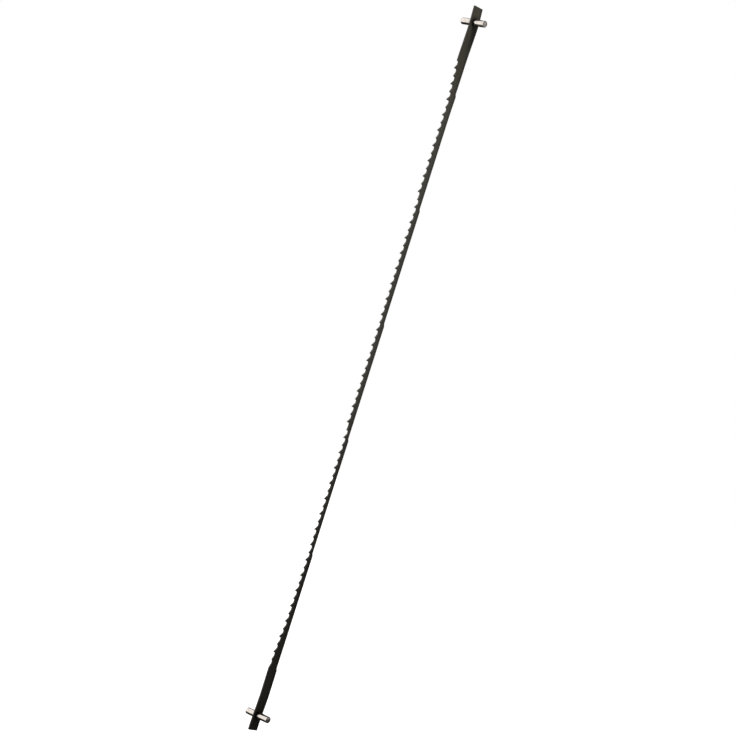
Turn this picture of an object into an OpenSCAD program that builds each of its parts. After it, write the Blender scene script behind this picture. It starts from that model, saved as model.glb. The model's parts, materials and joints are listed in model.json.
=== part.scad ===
// Pin-end saw blade: a thin toothed steel strip with a round cross pin pressed through each end.
// Millimetres. +Z runs up the blade, the teeth look towards -X and cut on the way down (-Z),
// and the pins lie along Y. The origin is midway between the pins, in the middle of the strip.

/* [Strip] */
// Length of the strip from end to end
overall_length = 132.6; // [130:0.1:136]
// Width of the plain tangs at the two ends
tang_width = 2.22; // [1.9:0.02:3]
// Thickness of the strip
thickness = 0.25; // [0.2:0.05:0.4]
// Angle by which the ends are sheared out of square
end_shear = 2.5; // [0:0.5:5]

/* [Pins] */
// Distance between the centres of the two pins
pin_spacing = 127; // [126:0.5:128]
// Diameter of a pin's free ends
pin_diameter = 1.2; // [1:0.05:1.4]
// Length of a pin
pin_length = 5.4; // [4:0.1:7]
// Radius that rounds the rim of a pin's ends
pin_rim = 0.18; // [0.05:0.01:0.25]
// How much the swollen middle of a pin is thicker than its free ends
seat_swell = 0.03; // [0.01:0.01:0.08]
// Length of the swollen middle
seat_length = 0.7; // [0.6:0.05:1]

/* [Teeth] */
// Number of teeth
tooth_count = 78; // [60:1:80]
// Distance from tooth to tooth, about 18 teeth to the inch
tooth_pitch = 1.405; // [1.35:0.005:1.45]
// Height of a tooth above its gullet
tooth_height = 0.53; // [0.45:0.01:0.6]
// Sideways set of a tooth's tip
tooth_set = 0.12; // [0.04:0.01:0.16]
// Length along the strip of a tooth's sloping flank
flank_run = 0.8; // [0.6:0.02:0.9]
// Length along the strip of a tooth's steep cutting face
face_run = 0.08; // [0.02:0.01:0.12]
// Length of the narrow land at a tooth's tip
tip_land = 0.03; // [0.01:0.01:0.06]
// Radius in the corner of a gullet
gullet_radius = 0.14; // [0.08:0.01:0.18]

/* [Tooth row] */
// Distance from the upper end of the strip to the first tooth's tip
upper_tang = 11.5; // [9:0.5:13]
// Depth of the row of tips below the edge of the tangs
row_depth = 0.68; // [0.6:0.02:0.8]
// Depth of the shallow gullets where the row starts and ends
end_gullet_depth = 0.36; // [0.2:0.01:0.45]
// Number of teeth over which the row sinks to its full depth
runout_teeth = 5; // [3:0.5:8]

/* [Stamping strokes] */
// Teeth cut by one stroke of the die
stroke_teeth = 15; // [10:1:20]
// Teeth of the first stroke that would fall above the first tooth
stroke_lead = 12; // [0:1:14]
// Height of the step that each stroke leaves in the back edge
back_step = 0.2; // [0:0.02:0.24]
// Length of the ramp of that step
step_ramp = 0.4; // [0.2:0.1:1]

/* [Hidden] */

$fn = 64;
arc_steps = 4;

// A tooth's root reaches this far into the strip, and lies this far inside its faces
root_depth = 0.06;
root_inset = 0.012;

// Extra depth of the tooth row where each stroke starts and where it ends, from the top stroke down
stroke_starts = [0, -0.15, 0.03, 0.05, 0.26, 0.28];
stroke_ends = [0, -0.28, -0.05, -0.1, 0.12, -0.3];

half_width = tang_width / 2;
end_z = overall_length / 2 - half_width * tan(end_shear);
first_tip_z = overall_length / 2 - upper_tang;
stroke_length = stroke_teeth * tooth_pitch;
set_angle = asin(tooth_set / tooth_height);
pin_radius = pin_diameter / 2;
seat_radius = pin_radius + seat_swell;

// The first step of the back edge lies one pitch below the first gullet of its stroke
first_step_z = first_tip_z - (stroke_teeth - stroke_lead) * tooth_pitch;

// Teeth are numbered from 0 at the top. Gullet i lies above tooth i, so the last gullet
// is number tooth_count, and the tang corners stand in for teeth -1 and tooth_count.
function tip_z(i) = first_tip_z - i * tooth_pitch;

// From 0 at the ends of the row to 1 where it has reached its full depth
function sunk(steps_in) = min(1, max(0, steps_in) / runout_teeth);

function stroke(i) = min(floor((i + stroke_lead) / stroke_teeth), len(stroke_starts) - 1);

function place_in_stroke(i) = (i + stroke_lead) % stroke_teeth / stroke_teeth;

function row_shift(i) =
    let (start = stroke_starts[stroke(i)], end = stroke_ends[stroke(i)])
    start + (end - start) * place_in_stroke(i);

function floor_x(i) =
    let (depth = row_depth + tooth_height + row_shift(i) - end_gullet_depth)
    end_gullet_depth + depth * sunk(min(i, tooth_count - i)) - half_width;

function tip_x(i) =
    let (depth = row_depth + max(row_shift(i), row_shift(i + 1)))
    depth * sunk(min(i, tooth_count - 1 - i)) - half_width;

// The two ends of the flat floor of gullet i, as [x, z]
function floor_top(i) = [floor_x(i), tip_z(i - 1) - face_run - gullet_radius];

function floor_foot(i) = [floor_x(i), tip_z(i) + flank_run];

// The rounded corner between a tooth's steep face and the floor of gullet i below it
function gullet_corner(i) = [
    for (k = [0 : arc_steps])
        let (turn = 90 * k / arc_steps)
        floor_top(i) + gullet_radius * [sin(turn) - 1, cos(turn)]
];

function tooth_side() = concat(
    [[-half_width, tip_z(-1)]],
    gullet_corner(0),
    [for (i = [0 : tooth_count]) each [floor_top(i), floor_foot(i)]],
    [[-half_width, tip_z(tooth_count)]]
);

function last_step() = floor((first_step_z + end_z) / stroke_length);

// From the lower end up: each stroke starts at full width and drifts inwards as it goes down
function back_side() = [
    for (k = [last_step() : -1 : 0])
        let (z = first_step_z - k * stroke_length)
        each [[half_width, z - step_ramp], [half_width - back_step, z]]
];

function strip_outline() = concat(
    [[-half_width, overall_length / 2]],
    tooth_side(),
    [[-half_width, -end_z], [half_width, -overall_length / 2]],
    back_side(),
    [[half_width, end_z]]
);

// Draws a flat plate from an outline in X and Z, lying between y = 0 and y = depth
module plate(outline, depth) {
    translate([0, depth, 0])
        rotate([90, 0, 0])
            linear_extrude(depth)
                polygon(outline);
}

// One tooth, bent about its root line: the even teeth lean towards +Y and the odd ones towards -Y.
// Its root reaches a little way into the strip, so that the two join into one piece.
module tooth(i) {
    root = floor_foot(i);
    foot = floor_top(i + 1);
    lean = atan2(foot.x - root.x, root.y - foot.y);
    side = i % 2 == 0 ? 1 : -1;
    outline = concat(
        [root, [tip_x(i), tip_z(i) + tip_land], [tip_x(i), tip_z(i)]],
        gullet_corner(i + 1),
        [foot + [root_depth, root_depth / 2], root + [root_depth, -root_depth / 2]]
    );
    level = [
        for (p = outline)
            let (d = p - root)
            [d.x * cos(lean) + d.y * sin(lean), d.y * cos(lean) - d.x * sin(lean)]
    ];
    translate([root.x, -side * (thickness / 2 - root_inset), root.y])
        rotate([0, -lean, 0])
            rotate([0, 0, -side * set_angle])
                translate([0, side > 0 ? 0 : root_inset - thickness, 0])
                    plate(level, thickness - root_inset);
}

module blade() {
    color([0.16, 0.16, 0.14])
        difference() {
            union() {
                translate([0, -thickness / 2, 0])
                    plate(strip_outline(), thickness);
                for (i = [0 : tooth_count - 1])
                    tooth(i);
            }
            for (z = [-pin_spacing / 2, pin_spacing / 2])
                translate([0, 0, z])
                    rotate([90, 0, 0])
                        cylinder(h = 4 * thickness, r = seat_radius, center = true);
        }
}

// The rounded rim of a pin's end and the edge of its free length, from the end face inwards,
// as [radius, distance from the middle]
function pin_end() = concat(
    [[0, pin_length / 2]],
    [
        for (k = [0 : arc_steps])
            let (turn = 90 * k / arc_steps)
            [pin_radius - pin_rim, pin_length / 2 - pin_rim] + pin_rim * [sin(turn), cos(turn)]
    ],
    [[pin_radius, seat_length / 2]]
);

function reversed(points) = [for (k = [len(points) - 1 : -1 : 0]) points[k]];

module pin(z) {
    other_end = [for (p = reversed(pin_end())) [p.x, -p.y]];
    color([0.86, 0.85, 0.84])
        translate([0, 0, z])
            rotate([90, 0, 0])
                rotate_extrude()
                    polygon(concat(pin_end(), [[seat_radius, 0]], other_end));
}

module upper_pin() {
    pin(pin_spacing / 2);
}

module lower_pin() {
    pin(-pin_spacing / 2);
}

blade();
upper_pin();
lower_pin();
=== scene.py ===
import json
import math

import bmesh
import bpy
import numpy as np
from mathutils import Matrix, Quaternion, Vector, geometry


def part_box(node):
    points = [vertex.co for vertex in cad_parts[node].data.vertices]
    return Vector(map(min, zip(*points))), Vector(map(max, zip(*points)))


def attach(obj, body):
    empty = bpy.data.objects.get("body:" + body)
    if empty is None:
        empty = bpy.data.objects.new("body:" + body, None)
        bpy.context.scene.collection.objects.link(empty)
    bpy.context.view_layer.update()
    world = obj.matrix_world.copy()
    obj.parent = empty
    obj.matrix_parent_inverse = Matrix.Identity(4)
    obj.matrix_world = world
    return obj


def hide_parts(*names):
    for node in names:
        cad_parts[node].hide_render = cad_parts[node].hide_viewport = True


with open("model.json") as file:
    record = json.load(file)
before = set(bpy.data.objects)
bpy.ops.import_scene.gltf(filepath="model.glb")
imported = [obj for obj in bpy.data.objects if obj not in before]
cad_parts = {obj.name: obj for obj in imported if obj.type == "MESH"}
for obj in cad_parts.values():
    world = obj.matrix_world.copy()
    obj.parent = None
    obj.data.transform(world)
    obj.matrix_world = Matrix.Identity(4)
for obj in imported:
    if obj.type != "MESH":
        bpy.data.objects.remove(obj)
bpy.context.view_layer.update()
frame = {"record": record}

MM = 0.001

# The object, in millimetres, read from the frame where the frame holds it
blade_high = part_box("blade")[1]
pin_low, pin_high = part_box("upper_pin")
HALF_LENGTH = blade_high.z / MM
HALF_WIDTH = blade_high.x / MM
PIN_HALF_LENGTH = pin_high.y / MM
SEAT_RADIUS = pin_high.x / MM
PIN_Z = (pin_low.z + pin_high.z) / 2 / MM
PIN_RADIUS = next(m for m in frame["record"]["mounts"] if m["kind"] == "pin")["dims"]["r_mm"]

THICKNESS = 0.25
END_SHEAR = math.radians(2.5)
HALF_THICKNESS = THICKNESS / 2
END_Z = HALF_LENGTH - HALF_WIDTH * math.tan(END_SHEAR)

# Teeth and their row, as the part's own design has them
TOOTH_COUNT = 78
PITCH = 1.405
TOOTH_HEIGHT = 0.53
TOOTH_SET = 0.12
FLANK_RUN = 0.8
FACE_RUN = 0.08
TIP_LAND = 0.03
GULLET_RADIUS = 0.14
UPPER_TANG = 11.5
FIRST_TIP_Z = HALF_LENGTH - UPPER_TANG
ROW_DEPTH = 0.68
END_GULLET_DEPTH = 0.36
RUNOUT_TEETH = 5

# Strokes of the stamping die
STROKE_TEETH = 15
STROKE_LEAD = 12
STROKE_STARTS = [0, -0.15, 0.03, 0.05, 0.26, 0.28]
STROKE_ENDS = [0, -0.28, -0.05, -0.1, 0.12, -0.3]
BACK_STEP = 0.2
STEP_RAMP = 0.4
STROKE_LENGTH = STROKE_TEETH * PITCH
FIRST_STEP_Z = FIRST_TIP_Z - (STROKE_TEETH - STROKE_LEAD) * PITCH

# Finer shape that only the visual model has
EDGE_RADIUS = 0.012
CORNER_RADIUS = 0.16
ROLL_WIDTH = 0.4
ROLL_DROP = 0.01
LIP_HEIGHT = 0.015
LIP_WIDTH = 0.05
LIP_GAP = 0.04

# A tooth bends over this share of its height, and is straight from there to past its tip
BEND_SHARE = 0.15
RISE_LIMIT = 1.2

# The spring left in the strip: each turn or bend, and the heights at which it starts and is complete
UPPER_TURN = math.radians(6.8)
UPPER_TURN_SPAN = (46, 53)
UPPER_UNTURN_SHARE = 0.6
UPPER_UNTURN_SPAN = (62.7, 66.3)
LOWER_TURN = math.radians(1.6)
LOWER_TURN_SPAN = (-50, -55)
BOW = 0.045
BOW_SPAN = (40, 10)
UPPER_BEND = 0.17
UPPER_BEND_SPAN = (56, 63)
UPPER_END_BEND = 0.22
UPPER_END_SPAN = (62.7, 67)
LOWER_END_BEND = 0.28
LOWER_END_SPAN = (-59, -66.3)

# Painted shade round the pins and along the back edge, and the lighter stretch of the tooth row
PIN_SHADE_REACH = 0.4
BACK_SHADE = 0.55
BACK_SHADE_SPAN = (-0.7, -0.1)
LIGHTER_ROW_START_SPAN = (-30, 0)
LIGHTER_ROW_END_SPAN = (46, 54)

# Fineness of the strip's outline
ARC_STEPS = 7
HOLE_STEPS = 64
END_PIECES = 8
ENTRY_PIECES = 3
FLOOR_PIECES = 2
FLANK_PIECES = 6
FACE_PIECES = 4
EXIT_PIECES = 4

# Fineness of the strip's faces: points on stations across it, along the teeth's roots, and round its holes
EDGE_RINGS = 3
STATION_GAP = 0.35
STATION_SHARES = (0.12, 0.35, 0.6, 0.8, 0.92)
ROOT_PIECES = 5
TOOTH_MIDDLE_RISE = 0.1
RING_STEPS = 48
RING_RADII = (0.64, 0.68, 0.75, 0.86)
RING_REACH = 0.95
MITRE_LIMIT = 0.6
MERGE_DISTANCE = 1e-7


# ---------------------------------------------------------------- the strip's outline

def tip_z(i):
    """Height of a tooth's tip. Teeth count from 0 at the top, and gullet i lies above tooth i."""
    return FIRST_TIP_Z - i * PITCH


def sunk(steps_in):
    """From 0 at the ends of the row to 1 where it has reached its full depth."""
    return min(1.0, max(0.0, steps_in) / RUNOUT_TEETH)


def row_shift(i):
    """Extra depth of the row that the stroke of the die leaves at tooth i."""
    stroke = min((i + STROKE_LEAD) // STROKE_TEETH, len(STROKE_STARTS) - 1)
    place = (i + STROKE_LEAD) % STROKE_TEETH / STROKE_TEETH
    return STROKE_STARTS[stroke] + (STROKE_ENDS[stroke] - STROKE_STARTS[stroke]) * place


def floor_x(i):
    depth = ROW_DEPTH + TOOTH_HEIGHT + row_shift(i) - END_GULLET_DEPTH
    return END_GULLET_DEPTH + depth * sunk(min(i, TOOTH_COUNT - i)) - HALF_WIDTH


def tip_x(i):
    depth = ROW_DEPTH + max(row_shift(i), row_shift(i + 1))
    return depth * sunk(min(i, TOOTH_COUNT - 1 - i)) - HALF_WIDTH


def floor_top(i):
    return floor_x(i), tip_z(i - 1) - FACE_RUN - GULLET_RADIUS


def floor_foot(i):
    return floor_x(i), tip_z(i) + FLANK_RUN


def line(start, end, pieces):
    """Points from start up to, and not including, end."""
    return [
        (start[0] + (end[0] - start[0]) * k / pieces, start[1] + (end[1] - start[1]) * k / pieces)
        for k in range(pieces)
    ]


def gullet_corner(i):
    """The rounded corner between a steep face and the floor of gullet i, without its last point."""
    x, z = floor_top(i)
    turns = [math.pi / 2 * k / ARC_STEPS for k in range(ARC_STEPS)]
    return [(x + GULLET_RADIUS * (math.sin(a) - 1), z + GULLET_RADIUS * math.cos(a)) for a in turns]


def tooth_side():
    """The toothed edge from the upper tang's corner down to the lower tang's corner."""
    points = line((-HALF_WIDTH, tip_z(-1)), gullet_corner(0)[0], ENTRY_PIECES)
    for i in range(TOOTH_COUNT + 1):
        points += gullet_corner(i) + line(floor_top(i), floor_foot(i), FLOOR_PIECES)
        if i < TOOTH_COUNT:
            land_top = (tip_x(i), tip_z(i) + TIP_LAND)
            tip = (tip_x(i), tip_z(i))
            points += line(floor_foot(i), land_top, FLANK_PIECES) + [land_top]
            points += line(tip, gullet_corner(i + 1)[0], FACE_PIECES)
    tang_corner = (-HALF_WIDTH, tip_z(TOOTH_COUNT))
    return points + line(floor_foot(TOOTH_COUNT), tang_corner, EXIT_PIECES)


def back_corners():
    """The stepped back edge from the lower end up."""
    steps = int((FIRST_STEP_Z + END_Z) // STROKE_LENGTH)
    corners = [(HALF_WIDTH, -HALF_LENGTH)]
    for k in range(steps, -1, -1):
        z = FIRST_STEP_Z - k * STROKE_LENGTH
        corners += [(HALF_WIDTH, z - STEP_RAMP), (HALF_WIDTH - BACK_STEP, z)]
    return corners + [(HALF_WIDTH, END_Z)]


def subdivided(corners, gap):
    """An open chain of corners with points no further apart than gap, without its last corner."""
    points = []
    for a, b in zip(corners, corners[1:]):
        points += line(a, b, max(1, math.ceil(math.dist(a, b) / gap)))
    return points


def rounded(corner, before, after):
    """The arc that wears a corner of the strip's ends round, between the points before and after it."""
    corner, before, after = (np.array(p) for p in (corner, before, after))
    start = corner + CORNER_RADIUS * (before - corner) / math.dist(before, corner)
    end = corner + CORNER_RADIUS * (after - corner) / math.dist(after, corner)
    shares = [k / ARC_STEPS for k in range(ARC_STEPS + 1)]
    return [tuple((1 - t) ** 2 * start + 2 * t * (1 - t) * corner + t * t * end) for t in shares]


def strip_outline():
    """The whole outline in X and Z, counter-clockwise as seen from the front."""
    top_front, top_back = (-HALF_WIDTH, HALF_LENGTH), (HALF_WIDTH, END_Z)
    foot_front, foot_back = (-HALF_WIDTH, -END_Z), (HALF_WIDTH, -HALF_LENGTH)
    first_tooth, last_tooth = (-HALF_WIDTH, tip_z(-1)), (-HALF_WIDTH, tip_z(TOOTH_COUNT))
    arcs = [
        rounded(top_front, top_back, first_tooth),
        rounded(foot_front, last_tooth, foot_back),
        rounded(foot_back, foot_front, top_back),
        rounded(top_back, foot_back, top_front),
    ]
    down = arcs[0][:-1] + subdivided([arcs[0][-1], first_tooth], STATION_GAP) + tooth_side()
    down += subdivided([last_tooth, arcs[1][0]], STATION_GAP)
    foot = arcs[1][:-1] + line(arcs[1][-1], arcs[2][0], END_PIECES) + arcs[2][:-1]
    corners = [arcs[2][-1]] + back_corners()[1:-1] + [arcs[3][0]]
    head = arcs[3][:-1] + line(arcs[3][-1], arcs[0][0], END_PIECES)
    return np.array(down + foot + subdivided(corners, STATION_GAP) + head)


def hole_outline(z):
    """A pin's hole, clockwise, so that its inside counts as outside the strip."""
    turns = -np.arange(HOLE_STEPS) * 2 * math.pi / HOLE_STEPS
    return np.column_stack([SEAT_RADIUS * np.cos(turns), z + SEAT_RADIUS * np.sin(turns)])


# ---------------------------------------------------------------- the strip's mesh

ROOT_Z = np.array([p[1] for i in range(TOOTH_COUNT + 1) for p in (floor_top(i), floor_foot(i))])
ROOT_X = np.array([floor_x(i) for i in range(TOOTH_COUNT + 1) for _ in range(2)])
BACK = np.array(back_corners())


def root_x(z):
    """Where the teeth's bend begins, which is the line of the gullet floors."""
    in_row = (z < tip_z(-1)) & (z > tip_z(TOOTH_COUNT))
    return np.where(in_row, np.interp(-z, -ROOT_Z, ROOT_X), -HALF_WIDTH)


def back_x(z):
    """Where the back edge is at a height."""
    return np.interp(z, BACK[:, 1], BACK[:, 0])


def inward_normals(loop):
    """Unit normals into the steel, mitred so that an offset keeps its distance from both sides."""
    along = np.roll(loop, -1, axis=0) - loop
    along /= np.linalg.norm(along, axis=1, keepdims=True)
    sides = np.column_stack([-along[:, 1], along[:, 0]])
    total = sides + np.roll(sides, 1, axis=0)
    total /= np.linalg.norm(total, axis=1, keepdims=True)
    stretch = np.clip((total * sides).sum(axis=1), MITRE_LIMIT, 1)
    return total / stretch[:, None]


def set_offset(points):
    """How far the teeth's set moves each point along Y."""
    x, z = points[:, 0], points[:, 1]
    tooth = np.clip(np.floor((FIRST_TIP_Z + FLANK_RUN - z) / PITCH), 0, TOOTH_COUNT - 1).astype(int)
    heights = np.array([floor_x(i) - tip_x(i) for i in range(TOOTH_COUNT)])[tooth]
    rise = np.clip((root_x(z) - x) / heights, 0, RISE_LIMIT)
    curve = rise * rise / (2 * BEND_SHARE)
    bent = np.where(rise < BEND_SHARE, curve, rise - BEND_SHARE / 2) / (1 - BEND_SHARE / 2)
    toothed = (z < FIRST_TIP_Z + FLANK_RUN) & (z > tip_z(TOOTH_COUNT) + FLANK_RUN)
    side = np.where(tooth % 2 == 0, 1.0, -1.0)
    return np.where(toothed, side * bent * TOOTH_SET * heights / TOOTH_HEIGHT, 0.0)


def face_drop(points):
    """How far the faces sink towards the rolled edges, less the lip that staking raises round each hole."""
    x, z = points[:, 0], points[:, 1]
    from_back = np.clip(1 - (back_x(z) - x) / ROLL_WIDTH, 0, 1)
    plain = (z > tip_z(-1)) | (z < tip_z(TOOTH_COUNT))
    from_front = np.where(plain, np.clip(1 - (x + HALF_WIDTH) / ROLL_WIDTH, 0, 1), 0)
    away = np.abs(np.hypot(x, np.abs(z) - PIN_Z) - SEAT_RADIUS - LIP_GAP)
    lip = LIP_HEIGHT * np.exp(-((away / LIP_WIDTH) ** 2))
    return ROLL_DROP * (from_back**2 + from_front**2) - lip


def ring(z, radius):
    """Points round a pin's hole."""
    turns = np.arange(RING_STEPS) * 2 * math.pi / RING_STEPS
    return [(radius * math.cos(a), z + radius * math.sin(a)) for a in turns]


def inner_points():
    """Points inside the outline, so that the faces can bend and sink smoothly."""
    stations = np.arange(-HALF_LENGTH + STATION_GAP, HALF_LENGTH - STATION_GAP / 2, STATION_GAP)
    points = []
    for z in stations:
        low, high = float(root_x(z)), float(back_x(z))
        points += [(low + (high - low) * share, z) for share in STATION_SHARES]
    for i in range(TOOTH_COUNT):
        points += line(floor_foot(i), floor_top(i + 1), ROOT_PIECES)[1:]
        points.append(((floor_x(i) + tip_x(i)) / 2, tip_z(i) + TOOTH_MIDDLE_RISE))
    points = np.array(points)
    from_pin = np.hypot(points[:, 0], np.abs(points[:, 1]) - PIN_Z)
    rings = [ring(pin_z, radius) for pin_z in (PIN_Z, -PIN_Z) for radius in RING_RADII]
    return np.vstack([points[from_pin > RING_REACH]] + rings)


def inside(points, loops):
    """Which points lie in the steel, by counting the crossings of the loops."""
    result = np.zeros(len(points), bool)
    for loop in loops:
        ends = np.roll(loop, -1, axis=0)
        for (x0, z0), (x1, z1) in zip(loop, ends):
            if z0 == z1:
                continue
            crossing = (z0 > points[:, 1]) != (z1 > points[:, 1])
            at = x0 + (points[:, 1] - z0) * (x1 - x0) / (z1 - z0)
            result ^= crossing & (points[:, 0] < at)
    return result


def triangulated(rims, free):
    """Triangles over the face inside the rims. Returns the points and the triangles, rims first."""
    points = np.vstack(rims + [free])
    edges, start = [], 0
    for rim in rims:
        count = len(rim)
        edges += [(start + k, start + (k + 1) % count) for k in range(count)]
        start += count
    vectors = [Vector((float(x), float(z))) for x, z in points]
    made = geometry.delaunay_2d_cdt(vectors, edges, [], 0, MERGE_DISTANCE)
    _, _, made_faces, origins, _, _ = made
    source = [origin[0] if origin else -1 for origin in origins]
    faces = np.array([[source[v] for v in face] for face in made_faces])
    faces = faces[(faces >= 0).all(axis=1)]
    keep = inside(points[faces].mean(axis=1), rims)
    return points, faces[keep]


def eased(values, start, end):
    """A smooth rise from 0 at start to 1 at end."""
    t = np.clip((values - start) / (end - start), 0, 1)
    return t * t * (3 - 2 * t)


def sprung(points):
    """The strip bowed a little, with its tangs turned about Z and bent beside the pins."""
    x, y, z = points.T
    unturned = 1 - UPPER_UNTURN_SHARE * eased(z, *UPPER_UNTURN_SPAN)
    turn = LOWER_TURN * eased(z, *LOWER_TURN_SPAN)
    turn -= UPPER_TURN * eased(z, *UPPER_TURN_SPAN) * unturned
    aside = LOWER_END_BEND * eased(z, *LOWER_END_SPAN) - BOW * eased(z, *BOW_SPAN)
    aside += UPPER_END_BEND * eased(z, *UPPER_END_SPAN) - UPPER_BEND * eased(z, *UPPER_BEND_SPAN)
    turned_x = np.clip(x * np.cos(turn) - y * np.sin(turn), -HALF_WIDTH, HALF_WIDTH)
    return np.column_stack([turned_x, x * np.sin(turn) + y * np.cos(turn) + aside, z])


def painted_shade(points):
    """How much painted shade darkens the oxide: the pins' shadow round them, and the rolled back edge's
    shading towards it.
    """
    x, z = points[:, 0], points[:, 2]
    from_pin = np.maximum(np.hypot(x, np.abs(z) - PIN_Z) - SEAT_RADIUS, 0)
    near_pin = np.exp(-((from_pin / PIN_SHADE_REACH) ** 2))
    near_back = eased(x - back_x(z), *BACK_SHADE_SPAN)
    return np.maximum(near_pin, BACK_SHADE * near_back)


def lighter_row(points):
    """How much lighter the oxide is in the upper and middle part of the tooth row."""
    z = points[:, 2]
    return eased(z, *LIGHTER_ROW_START_SPAN) * (1 - eased(z, *LIGHTER_ROW_END_SPAN))


def layer(xz, y):
    """Points from their places in X and Z and their heights along Y."""
    return np.column_stack([xz[:, 0], y, xz[:, 1]])


def strip_layers(points, loops, normals):
    """The straight strip's points: the -Y face, the rings that roll over its edges, and the +Y face."""
    shift, drop = set_offset(points), face_drop(points)
    edge, inwards = np.vstack(loops), np.vstack(normals)
    edge_shift, edge_drop = shift[: len(edge)], drop[: len(edge)]
    turns = [math.pi / 2 * k / EDGE_RINGS for k in range(1, EDGE_RINGS + 1)]
    layers = [layer(points, shift - HALF_THICKNESS + drop)]
    for side in (-1, 1):
        for a in turns if side < 0 else turns[::-1]:
            xz = edge + EDGE_RADIUS * (1 - math.sin(a)) * inwards
            height = HALF_THICKNESS - edge_drop - EDGE_RADIUS * (1 - math.cos(a))
            layers.append(layer(xz, edge_shift + side * height))
    layers.append(layer(points, shift + HALF_THICKNESS - drop))
    return np.vstack(layers)


def strip_faces(triangles, loops, count):
    """The triangles of both faces, and the bands that join the layers round each loop."""
    rim_count = sum(len(loop) for loop in loops)
    rows = [0] + [count + k * rim_count for k in range(2 * EDGE_RINGS + 1)]
    faces = [tuple(int(v) for v in triangle) for triangle in triangles]
    faces += [tuple(int(v) + rows[-1] for v in triangle[::-1]) for triangle in triangles]
    start = 0
    for loop in loops:
        size = len(loop)
        for row, next_row in zip(rows, rows[1:]):
            for k in range(size):
                a, b = start + k, start + (k + 1) % size
                faces.append((row + b, row + a, next_row + a, next_row + b))
        start += size
    return faces


def blade_mesh():
    loops = [strip_outline(), hole_outline(PIN_Z), hole_outline(-PIN_Z)]
    normals = [inward_normals(loop) for loop in loops]
    rims = [loop + EDGE_RADIUS * normal for loop, normal in zip(loops, normals)]
    free = inner_points()
    points, triangles = triangulated(rims, free[inside(free, rims)])
    count = len(points)
    straight = strip_layers(points, loops, normals)
    mesh = bpy.data.meshes.new("blade_visual")
    mesh.from_pydata((sprung(straight) * MM).tolist(), [], strip_faces(triangles, loops, count))
    wear = np.ones(len(straight))
    wear[:count] = 0
    wear[-count:] = 0
    # Besides wear, these shares carry the painted shade round the pins and along the back edge, and the
    # lighter stretch of the tooth row
    shares = {"wear": wear, "painted_shade": painted_shade(straight), "lighter_row": lighter_row(straight)}
    for name, values in shares.items():
        attribute = mesh.attributes.new(name, "FLOAT", "POINT")
        attribute.data.foreach_set("value", values.astype(np.float32))
    return mesh


# ---------------------------------------------------------------- a pin's mesh

PIN_RIM = 0.18
SEAT_HALF = 0.35
# How far from the middle the painted shade at a pin's root ends
ROOT_SHADE_END = 0.65

# The sheared end face: its dome, the direction of the cut, and the torn part's step and the step's place
END_DOME = 0.1
CUT_TURN = 0.6
TORN_DEPTH = 0.03
TORN_START = 0.08
TORN_BLUR = 0.02
# The cut's marks fade out over this length behind the end face
CUT_FADE = 0.06

# Fineness of a pin's mesh
PIN_STEPS = 64
END_SHARES = (0.15, 0.35, 0.55)
RIM_PIECES = 8
FREE_PIECES = 10
SEAT_PIECES = 4


def pin_profile():
    """Radius and distance from the middle, from one end's centre to the other's."""
    half = [(PIN_RADIUS * share, PIN_HALF_LENGTH) for share in END_SHARES]
    for k in range(RIM_PIECES + 1):
        a = math.pi / 2 * k / RIM_PIECES
        radius = PIN_RADIUS - PIN_RIM * (1 - math.sin(a))
        half.append((radius, PIN_HALF_LENGTH - PIN_RIM * (1 - math.cos(a))))
    rim_foot, seat_rim = (PIN_RADIUS, PIN_HALF_LENGTH - PIN_RIM), (PIN_RADIUS, SEAT_HALF)
    half += line(rim_foot, seat_rim, FREE_PIECES)[1:]
    half += line(seat_rim, (SEAT_RADIUS, 0), SEAT_PIECES)
    return half + [(SEAT_RADIUS, 0)] + [(r, -y) for r, y in reversed(half)]


def cut_mark(x, z, end):
    """How far a pin's end face stands back: it is sheared, so part of it is torn and a little lower."""
    across = x * math.cos(CUT_TURN * end) + z * math.sin(CUT_TURN * end)
    dome = END_DOME * (x * x + z * z) / PIN_RADIUS**2
    torn = TORN_DEPTH / (1 + math.exp(-(across - TORN_START) / TORN_BLUR))
    return dome + torn


def pin_shares(r, y):
    """How much a point belongs to the end face, to the painted shade at the root and to the painted shade
    on the rim.
    """
    across_rim = (r - PIN_RADIUS) / PIN_RIM + 1
    return {
        "end_face": max(0.0, 1 - (PIN_HALF_LENGTH - abs(y)) / PIN_RIM),
        "root": 1 - float(eased(abs(y), SEAT_HALF, ROOT_SHADE_END)),
        "rim": max(0.0, 4 * across_rim * (1 - across_rim)),
    }


def pin_mesh(name, z_middle):
    mesh = bpy.data.meshes.new(name)
    shape = bmesh.new()
    layers = {share: shape.verts.layers.float.new(share) for share in ("end_face", "root", "rim")}
    circles = []
    for r, y in pin_profile():
        end = math.copysign(1, y)
        on_end = max(0.0, 1 - (PIN_HALF_LENGTH - abs(y)) / CUT_FADE)
        circle = []
        for k in range(PIN_STEPS):
            a = 2 * math.pi * k / PIN_STEPS
            x, z = r * math.cos(a), r * math.sin(a)
            depth = cut_mark(x, z, end) * on_end
            vert = shape.verts.new((x * MM, (y - end * depth) * MM, (z_middle + z) * MM))
            for share, value in pin_shares(r, y).items():
                vert[layers[share]] = value
            circle.append(vert)
        circles.append(circle)
    for circle, other in zip(circles, circles[1:]):
        for k in range(PIN_STEPS):
            n = (k + 1) % PIN_STEPS
            shape.faces.new((circle[k], circle[n], other[n], other[k]))
    for circle, end in ((circles[0], 1), (circles[-1], -1)):
        tip_y = end * (PIN_HALF_LENGTH - cut_mark(0, 0, end))
        tip = shape.verts.new((0, tip_y * MM, z_middle * MM))
        tip[layers["end_face"]] = 1
        for k in range(PIN_STEPS):
            n = (k + 1) % PIN_STEPS
            corners = (tip, circle[n], circle[k])
            shape.faces.new(corners if end > 0 else corners[::-1])
    bmesh.ops.recalc_face_normals(shape, faces=shape.faces)
    shape.to_mesh(mesh)
    shape.free()
    return mesh
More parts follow.
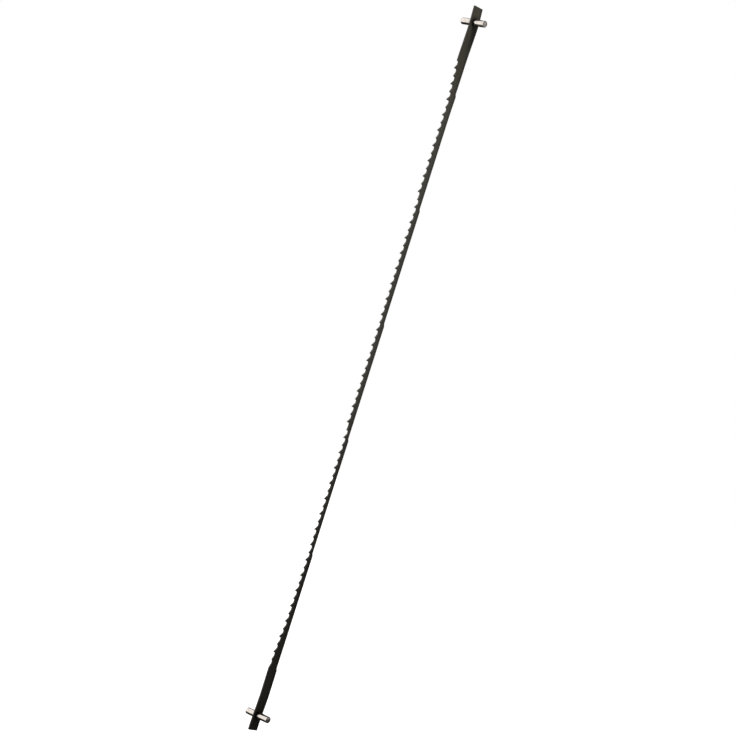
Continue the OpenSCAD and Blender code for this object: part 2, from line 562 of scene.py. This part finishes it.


# ---------------------------------------------------------------- materials

# Black oxide: its darkest and lightest clouds, and the colours laid over them, painted shade among them
OXIDE_DARK = (0.017, 0.0155, 0.0115)
OXIDE_LIGHT = (0.027, 0.0245, 0.0175)
OXIDE_STREAK = (0.042, 0.039, 0.031)
# The colour of the lighter stretch of the upper and middle tooth row
OXIDE_LIGHTER_ROW = (0.046, 0.043, 0.036)
# Painted shade: darkens the oxide round the pins and along the back edge, for the pins' shadow and the
# rolled edge's shading
OXIDE_PAINTED_SHADE = (0.004, 0.0038, 0.003)
BARE_STEEL = (0.20, 0.19, 0.18)
LIGHTER_ROW_AMOUNT = 0.5
PAINTED_SHADE_AMOUNT = 0.85
STRIP_SMOOTH_ANGLE = 35

# Bright wire, its dents, its end faces made lighter by painted light, their rims and its roots beside the
# strip darkened by painted shade
WIRE = (0.62, 0.57, 0.52)
WIRE_DENT = (0.78, 0.72, 0.66)
# Painted light: the end faces are made lighter than the wire, as if lit
PAINTED_LIT_END = (0.88, 0.83, 0.76)
# Painted reflection: the dark rim round each end face
PAINTED_RIM_SHADE = (0.13, 0.12, 0.105)
# Painted shade: the pin's root beside the strip, darkened for the blade's dark reflection and contact shade
PAINTED_ROOT_SHADE = (0.07, 0.065, 0.06)
LIT_END_AMOUNT = 0.85
RIM_SHADE_AMOUNT = 0.8
END_ROUGHNESS = 0.13
PIN_SMOOTH_ANGLE = 40

# Sockets of a Mix node that works on colours
MIX_A = 6
MIX_B = 7
MIX_RESULT = 2


class Nodes:
    """Short calls that add nodes to one material."""

    def __init__(self, name):
        self.material = bpy.data.materials.new(name)
        self.material.use_nodes = True
        self.tree = self.material.node_tree
        self.shader = self.tree.nodes["Principled BSDF"]
        self.place = self.add("ShaderNodeTexCoord").outputs["Object"]

    def add(self, kind):
        return self.tree.nodes.new(kind)

    def link(self, source, target):
        self.tree.links.new(source, target)

    def noise(self, scale, detail=4.0, stretch=(1, 1, 1), roughness=0.55):
        """Noise with scale cells to the metre, drawn out along an axis by a stretch below 1."""
        mapping = self.add("ShaderNodeMapping")
        mapping.inputs["Scale"].default_value = stretch
        self.link(self.place, mapping.inputs["Vector"])
        node = self.add("ShaderNodeTexNoise")
        node.inputs["Scale"].default_value = scale
        node.inputs["Detail"].default_value = detail
        node.inputs["Roughness"].default_value = roughness
        self.link(mapping.outputs["Vector"], node.inputs["Vector"])
        return node.outputs["Fac"]

    def attribute(self, name):
        node = self.add("ShaderNodeAttribute")
        node.attribute_name = name
        return node.outputs["Fac"]

    def share(self, name, amount):
        """A mesh's attribute times an amount."""
        return self.math("MULTIPLY", self.attribute(name), amount)

    def spread(self, source, low, high, to_low, to_high):
        """source between low and high, spread over to_low to to_high and held there outside."""
        node = self.add("ShaderNodeMapRange")
        values = {"From Min": low, "From Max": high, "To Min": to_low, "To Max": to_high}
        for name, value in values.items():
            node.inputs[name].default_value = value
        self.link(source, node.inputs["Value"])
        return node.outputs["Result"]

    def math(self, operation, a, b):
        node = self.add("ShaderNodeMath")
        node.operation = operation
        for socket, value in zip(node.inputs, (a, b)):
            if isinstance(value, (int, float)):
                socket.default_value = value
            else:
                self.link(value, socket)
        return node.outputs["Value"]

    def mix(self, factor, a, b):
        """The colour a where factor is 0 and b where it is 1."""
        node = self.add("ShaderNodeMix")
        node.data_type = "RGBA"
        self.link(factor, node.inputs["Factor"])
        for socket, value in ((node.inputs[MIX_A], a), (node.inputs[MIX_B], b)):
            if isinstance(value, tuple):
                socket.default_value = (*value, 1)
            else:
                self.link(value, socket)
        return node.outputs[MIX_RESULT]

    def bump(self, heights):
        """Bump from pairs of a height source and its depth in metres."""
        normal = None
        for height, depth in heights:
            node = self.add("ShaderNodeBump")
            node.inputs["Distance"].default_value = depth
            self.link(height, node.inputs["Height"])
            if normal is not None:
                self.link(normal, node.inputs["Normal"])
            normal = node.outputs["Normal"]
        self.link(normal, self.shader.inputs["Normal"])


def blackened_steel():
    """Black oxide on rolled strip: satin, drawn out along the blade, and a little bare on its edges."""
    n = Nodes("blackened_steel")
    n.shader.inputs["Specular IOR Level"].default_value = 0.3
    n.shader.inputs["Specular Tint"].default_value = (1, 0.95, 0.85, 1)
    clouds = n.noise(140, stretch=(1, 1, 0.5))
    rolling = n.noise(9000, detail=3, stretch=(1, 1, 0.02))
    grain = n.noise(16000, detail=5, roughness=0.7)
    oxide = n.mix(n.spread(clouds, 0.35, 0.65, 0, 1), OXIDE_DARK, OXIDE_LIGHT)
    streaked = n.mix(n.spread(rolling, 0.45, 0.7, 0, 0.5), oxide, OXIDE_STREAK)
    # Lighter in the upper and middle part of the tooth row
    lightened = n.mix(n.share("lighter_row", LIGHTER_ROW_AMOUNT), streaked, OXIDE_LIGHTER_ROW)
    # Painted shade: darker round the pins and along the back edge
    painted_shaded = n.mix(n.share("painted_shade", PAINTED_SHADE_AMOUNT), lightened, OXIDE_PAINTED_SHADE)
    bare = n.math("MULTIPLY", n.attribute("wear"), n.spread(grain, 0.5, 0.68, 0, 0.5))
    n.link(n.mix(bare, painted_shaded, BARE_STEEL), n.shader.inputs["Base Color"])
    n.link(n.math("MULTIPLY", bare, 0.9), n.shader.inputs["Metallic"])
    n.link(n.spread(grain, 0.3, 0.7, 0.34, 0.48), n.shader.inputs["Roughness"])
    n.bump([(rolling, 0.003 * MM), (grain, 0.0015 * MM)])
    return n.material


def bright_steel():
    """Bright drawn wire: fine lines along the pin, small dents, and rougher where its ends were sheared.
    The end faces are lighter by painted light, and their rims and the roots beside the strip darker by
    painted shade.
    """
    n = Nodes("bright_steel")
    drawing = n.noise(9000, detail=3, stretch=(1, 0.03, 1))
    dents = n.noise(2200, detail=2)
    grain = n.noise(15000, detail=5, roughness=0.7)
    end_grain = n.math("MULTIPLY", n.attribute("end_face"), grain)
    metal = n.mix(n.spread(dents, 0.4, 0.62, 0, 1), WIRE_DENT, WIRE)
    # Painted light: the end faces made lighter
    lit_capped = n.mix(n.share("end_face", LIT_END_AMOUNT), metal, PAINTED_LIT_END)
    # Painted reflection: dark rim round the end faces
    rim_shaded = n.mix(n.share("rim", RIM_SHADE_AMOUNT), lit_capped, PAINTED_RIM_SHADE)
    # Painted shade at the root, where the pin meets the blade
    n.link(n.mix(n.attribute("root"), rim_shaded, PAINTED_ROOT_SHADE), n.shader.inputs["Base Color"])
    n.shader.inputs["Metallic"].default_value = 1.0
    smooth = n.spread(drawing, 0.3, 0.7, 0.10, 0.2)
    n.link(n.math("ADD", smooth, n.share("end_face", END_ROUGHNESS)), n.shader.inputs["Roughness"])
    n.bump([(dents, 0.012 * MM), (drawing, 0.002 * MM), (end_grain, 0.012 * MM)])
    return n.material


# ---------------------------------------------------------------- pieces

def add_piece(name, mesh, material, smooth_angle):
    piece = bpy.data.objects.new(name, mesh)
    bpy.context.scene.collection.objects.link(piece)
    mesh.materials.append(material)
    mesh.shade_smooth()
    mesh.set_sharp_from_angle(angle=math.radians(smooth_angle))
    weighted = piece.modifiers.new("weighted_normals", "WEIGHTED_NORMAL")
    weighted.keep_sharp = True
    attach(piece, "root")
    return piece


def make_blade():
    material = blackened_steel()
    piece = add_piece("toothed_strip", blade_mesh(), material, STRIP_SMOOTH_ANGLE)
    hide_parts("blade")


def make_pins():
    material = bright_steel()
    for node, side in (("upper_pin", 1), ("lower_pin", -1)):
        name = node.replace("pin", "cross_pin")
        mesh = pin_mesh(name, side * PIN_Z)
        piece = add_piece(name, mesh, material, PIN_SMOOTH_ANGLE)
        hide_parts(node)


# ---------------------------------------------------------------- camera, light and stage

CAMERA_AZIMUTH = math.radians(-48.5)
CAMERA_ROLL = math.radians(17.307)
CAMERA_LENS = 108.2
CAMERA_SENSOR = 36
CAMERA_CLIP = (0.01, 50)
CAMERA_DISTANCE = 0.3872
CAMERA_SHIFT = (0.000365, 0.000155)

ORIGIN = (0, 0, 0)
WHITE = (1, 1, 1, 1)
FLOOR_COLOUR = (0.9, 0.9, 0.89)
FLOOR_ROUGHNESS = 0.8
FLOOR_Z = -0.4
FLOOR_SIZE = 12
FLAG_COLOUR = (0.004, 0.004, 0.004)
FLAG_ROUGHNESS = 0.9
KEY_PLACE = (-0.06, -0.12, 0.34)
AMBIENT = 0.35


def make_camera():
    data = bpy.data.cameras.new("camera")
    data.sensor_width = CAMERA_SENSOR
    data.lens = CAMERA_LENS
    data.clip_start, data.clip_end = CAMERA_CLIP
    camera = bpy.data.objects.new("camera", data)
    bpy.context.scene.collection.objects.link(camera)
    towards = Vector((math.sin(CAMERA_AZIMUTH), -math.cos(CAMERA_AZIMUTH), 0))
    turn = (-towards).to_track_quat("-Z", "Y") @ Quaternion((0, 0, 1), CAMERA_ROLL)
    camera.rotation_mode = "QUATERNION"
    camera.rotation_quaternion = turn
    camera.location = towards * CAMERA_DISTANCE + turn @ Vector((*CAMERA_SHIFT, 0))
    bpy.context.scene.camera = camera


def plain_material(name, colour, roughness):
    material = bpy.data.materials.new(name)
    material.use_nodes = True
    shader = material.node_tree.nodes["Principled BSDF"]
    shader.inputs["Base Color"].default_value = (*colour, 1)
    shader.inputs["Roughness"].default_value = roughness
    return material


def add_card(name, centre, facing, width, height, material):
    """A flat card on the stage, turned to face a point."""
    mesh = bpy.data.meshes.new(name)
    w, h = width / 2, height / 2
    mesh.from_pydata([(-w, -h, 0), (w, -h, 0), (w, h, 0), (-w, h, 0)], [], [(0, 1, 2, 3)])
    mesh.materials.append(material)
    card = bpy.data.objects.new(name, mesh)
    bpy.context.scene.collection.objects.link(card)
    card.location = centre
    card.rotation_mode = "QUATERNION"
    card.rotation_quaternion = (Vector(facing) - Vector(centre)).to_track_quat("Z", "Y")
    return card


def add_flag(name, centre, facing, width, height, cuts_light=False):
    """A black card that is never seen. It darkens what the object reflects, or cuts the key light."""
    black = plain_material(name, FLAG_COLOUR, FLAG_ROUGHNESS)
    card = add_card(name, centre, facing, width, height, black)
    card.visible_camera = False
    card.visible_shadow = cuts_light
    card.visible_diffuse = not cuts_light


def make_stage():
    pale = plain_material("pale_floor", FLOOR_COLOUR, FLOOR_ROUGHNESS)
    glow = pale.node_tree.nodes["Principled BSDF"]
    glow.inputs["Emission Color"].default_value = WHITE
    glow.inputs["Emission Strength"].default_value = 1.0
    floor = add_card("floor", (0, 0, FLOOR_Z), ORIGIN, FLOOR_SIZE, FLOOR_SIZE, pale)
    floor.visible_diffuse = False
    floor.visible_glossy = False
    add_flag("flag_below", (0.09, 0.2, -0.2), ORIGIN, 0.52, 0.52)
    add_flag("flag_right", (0.15, -0.13, -0.17), (0, 0, -0.06), 0.29, 0.23)
    add_flag("flag_side", (0.3, 0.03, 0.0), ORIGIN, 0.3, 0.3)
    add_flag("flag_key", (-0.0234, -0.0468, 0.0521), KEY_PLACE, 0.12, 0.04, cuts_light=True)


def add_softbox(name, place, aim, size, radiance, mirrored=True):
    """A square area light of the given radiance, turned towards aim. It may be kept out of reflections."""
    light = bpy.data.lights.new(name, "AREA")
    light.size = size
    light.energy = math.pi * size * size * radiance
    softbox = bpy.data.objects.new(name, light)
    bpy.context.scene.collection.objects.link(softbox)
    softbox.location = place
    softbox.rotation_mode = "QUATERNION"
    softbox.rotation_quaternion = (Vector(place) - Vector(aim)).to_track_quat("Z", "Y")
    softbox.visible_camera = False
    softbox.visible_glossy = mirrored


def make_light():
    """A white surround that lights the object only weakly, a key light above it and a panel behind it."""
    world = bpy.data.worlds.new("white_surround")
    world.use_nodes = True
    tree = world.node_tree
    rays = tree.nodes.new("ShaderNodeLightPath")
    strength = tree.nodes.new("ShaderNodeMapRange")
    strength.inputs["To Min"].default_value = AMBIENT
    strength.inputs["To Max"].default_value = 1.0
    tree.links.new(rays.outputs["Is Camera Ray"], strength.inputs["Value"])
    tree.nodes["Background"].inputs["Color"].default_value = WHITE
    tree.links.new(strength.outputs["Result"], tree.nodes["Background"].inputs["Strength"])
    bpy.context.scene.world = world
    add_softbox("key_light", KEY_PLACE, (0, 0, 0.02), 0.1, 100, mirrored=False)
    add_softbox("back_panel", (-0.34, 0.33, 0.16), ORIGIN, 1.1, 0.86)
    bpy.context.scene.view_settings.view_transform = "Standard"


make_camera()
make_stage()
make_light()
make_blade()
make_pins()

bpy.context.view_layer.update()
